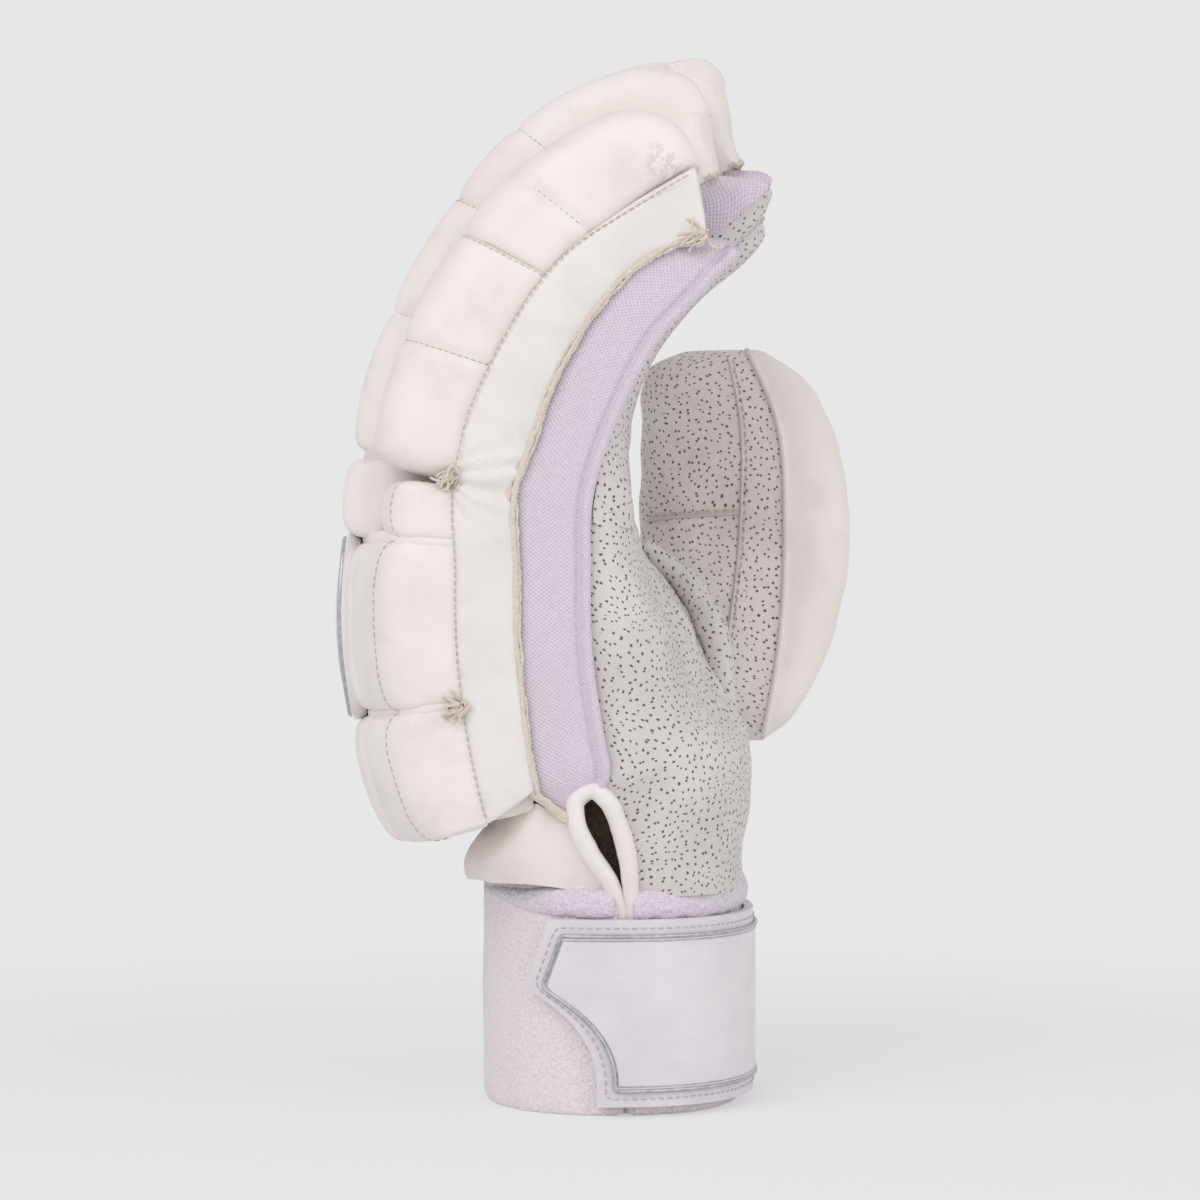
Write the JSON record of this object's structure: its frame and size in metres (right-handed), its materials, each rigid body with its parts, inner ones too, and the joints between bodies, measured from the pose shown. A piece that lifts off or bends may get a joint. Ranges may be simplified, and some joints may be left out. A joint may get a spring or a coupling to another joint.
{
  "type": "batting glove",
  "caption": "Right-hand padded batting glove with jointed finger rolls, a padded thumb, perforated palm, towelling cuff and a wrap-round wrist strap.",
  "frame": {"origin": "middle of the glove's box, on the surface its cuff stands on", "axes": "+X out of the palm, +Y towards the thumb, +Z towards the fingertips"},
  "size_m": [0.1366, 0.1366, 0.268],
  "materials": {
    "white_leather": "smooth white coated leather, satin",
    "palm_leather": "pale grey-white perforated leather, matt",
    "knit": "fine stretch knit with a lavender cast",
    "terry": "looped towelling, white",
    "foam": "closed-cell padding foam, cream",
    "strap": "moulded soft plastic over webbing, satin",
    "badge": "plain moulded plate, satin",
    "hook": "hook tape, matt"
  },
  "bodies": {
    "hand": {"little_knuckle_bar": "white_leather", "ring_knuckle_bar": "white_leather", "middle_knuckle_bar": "white_leather", "index_knuckle_bar": "white_leather", "back_block_little": "white_leather", "back_block_centre": "white_leather", "back_block_index": "white_leather", "wrist_block": "white_leather", "badge_plate": "badge", "back_foam_underlay": "foam", "hand_side_bar_little": "white_leather", "hand_side_bar_index": "white_leather", "ulnar_gusset": "knit", "radial_gusset": "knit", "palm_leather": "palm_leather", "thumb_web": "palm_leather", "wrist_back": "white_leather", "slit_binding": "white_leather", "cuff_band": "terry", "strap_anchor": "strap"},
    "little_base": {"little_base_cover": "white_leather", "little_base_foam": "foam", "little_base_knit": "knit", "little_base_leather": "palm_leather", "little_base_side_bar": "white_leather"},
    "little_tip": {"little_tip_cover": "white_leather", "little_tip_foam": "foam", "little_tip_knit": "knit", "little_tip_leather": "palm_leather", "little_tip_side_bar": "white_leather"},
    "ring_base": {"ring_base_cover": "white_leather", "ring_base_foam": "foam", "ring_base_knit": "knit", "ring_base_leather": "palm_leather"},
    "ring_tip": {"ring_tip_cover": "white_leather", "ring_tip_foam": "foam", "ring_tip_knit": "knit", "ring_tip_leather": "palm_leather"},
    "middle_base": {"middle_base_cover": "white_leather", "middle_base_foam": "foam", "middle_base_knit": "knit", "middle_base_leather": "palm_leather"},
    "middle_tip": {"middle_tip_cover": "white_leather", "middle_tip_foam": "foam", "middle_tip_knit": "knit", "middle_tip_leather": "palm_leather"},
    "index_base": {"index_base_cover": "white_leather", "index_base_foam": "foam", "index_base_knit": "knit", "index_base_leather": "palm_leather"},
    "index_tip": {"index_tip_cover": "white_leather", "index_tip_foam": "foam", "index_tip_knit": "knit", "index_tip_leather": "palm_leather"},
    "thumb": {"thumb_stall": "palm_leather", "thumb_cover": "white_leather", "thumb_foam": "foam"},
    "strap_band": {"strap_band": "strap"},
    "strap_tab": {"strap_tab": "strap", "hook_patch": "hook"}
  },
  "joints": [
    {"name": "little_knuckle", "type": "hinge", "parent": "hand", "child": "little_base", "pos_m": [-0.01104, -0.05264, 0.15406], "axis": [0, 1, 0], "range_deg": [0, 50], "stiffness_Nm_per_rad": 0.6},
    {"name": "little_middle_joint", "type": "hinge", "parent": "little_base", "child": "little_tip", "pos_m": [0.00249, -0.05264, 0.1957], "axis": [0, 1, 0], "range_deg": [0, 60], "stiffness_Nm_per_rad": 0.4},
    {"name": "ring_knuckle", "type": "hinge", "parent": "hand", "child": "ring_base", "pos_m": [-0.01287, -0.02764, 0.15881], "axis": [0, 1, 0], "range_deg": [0, 50], "stiffness_Nm_per_rad": 0.6},
    {"name": "ring_middle_joint", "type": "hinge", "parent": "ring_base", "child": "ring_tip", "pos_m": [0.0025, -0.02764, 0.20612], "axis": [0, 1, 0], "range_deg": [0, 60], "stiffness_Nm_per_rad": 0.4},
    {"name": "middle_knuckle", "type": "hinge", "parent": "hand", "child": "middle_base", "pos_m": [-0.0127, -0.00264, 0.16007], "axis": [0, 1, 0], "range_deg": [0, 50], "stiffness_Nm_per_rad": 0.6},
    {"name": "middle_middle_joint", "type": "hinge", "parent": "middle_base", "child": "middle_tip", "pos_m": [0.00329, -0.00264, 0.20927], "axis": [0, 1, 0], "range_deg": [0, 60], "stiffness_Nm_per_rad": 0.4},
    {"name": "index_knuckle", "type": "hinge", "parent": "hand", "child": "index_base", "pos_m": [-0.01051, 0.02236, 0.15784], "axis": [0, 1, 0], "range_deg": [0, 50], "stiffness_Nm_per_rad": 0.6},
    {"name": "index_middle_joint", "type": "hinge", "parent": "index_base", "child": "index_tip", "pos_m": [0.00456, 0.02236, 0.2042], "axis": [0, 1, 0], "range_deg": [0, 60], "stiffness_Nm_per_rad": 0.4},
    {"name": "thumb_root", "type": "hinge", "parent": "hand", "child": "thumb", "pos_m": [0.02291, 0.04731, 0.103], "axis": [0, 0.9945, -0.1045], "range_deg": [-15, 25], "stiffness_Nm_per_rad": 0.6},
    {"name": "strap_swing", "type": "hinge", "parent": "hand", "child": "strap_band", "pos_m": [-0.00144, 0.033, 0], "axis": [0, 0, 1], "range_deg": [0, 60]},
    {"name": "strap_peel", "type": "hinge", "parent": "strap_band", "child": "strap_tab", "pos_m": [0.03242, -0.04682, 0], "axis": [0, 0, 1], "range_deg": [0, 120]}
  ],
  "couplings": [
    {"joint": "strap_swing", "follows": "strap_peel", "ratio": 0.5}
  ]
}
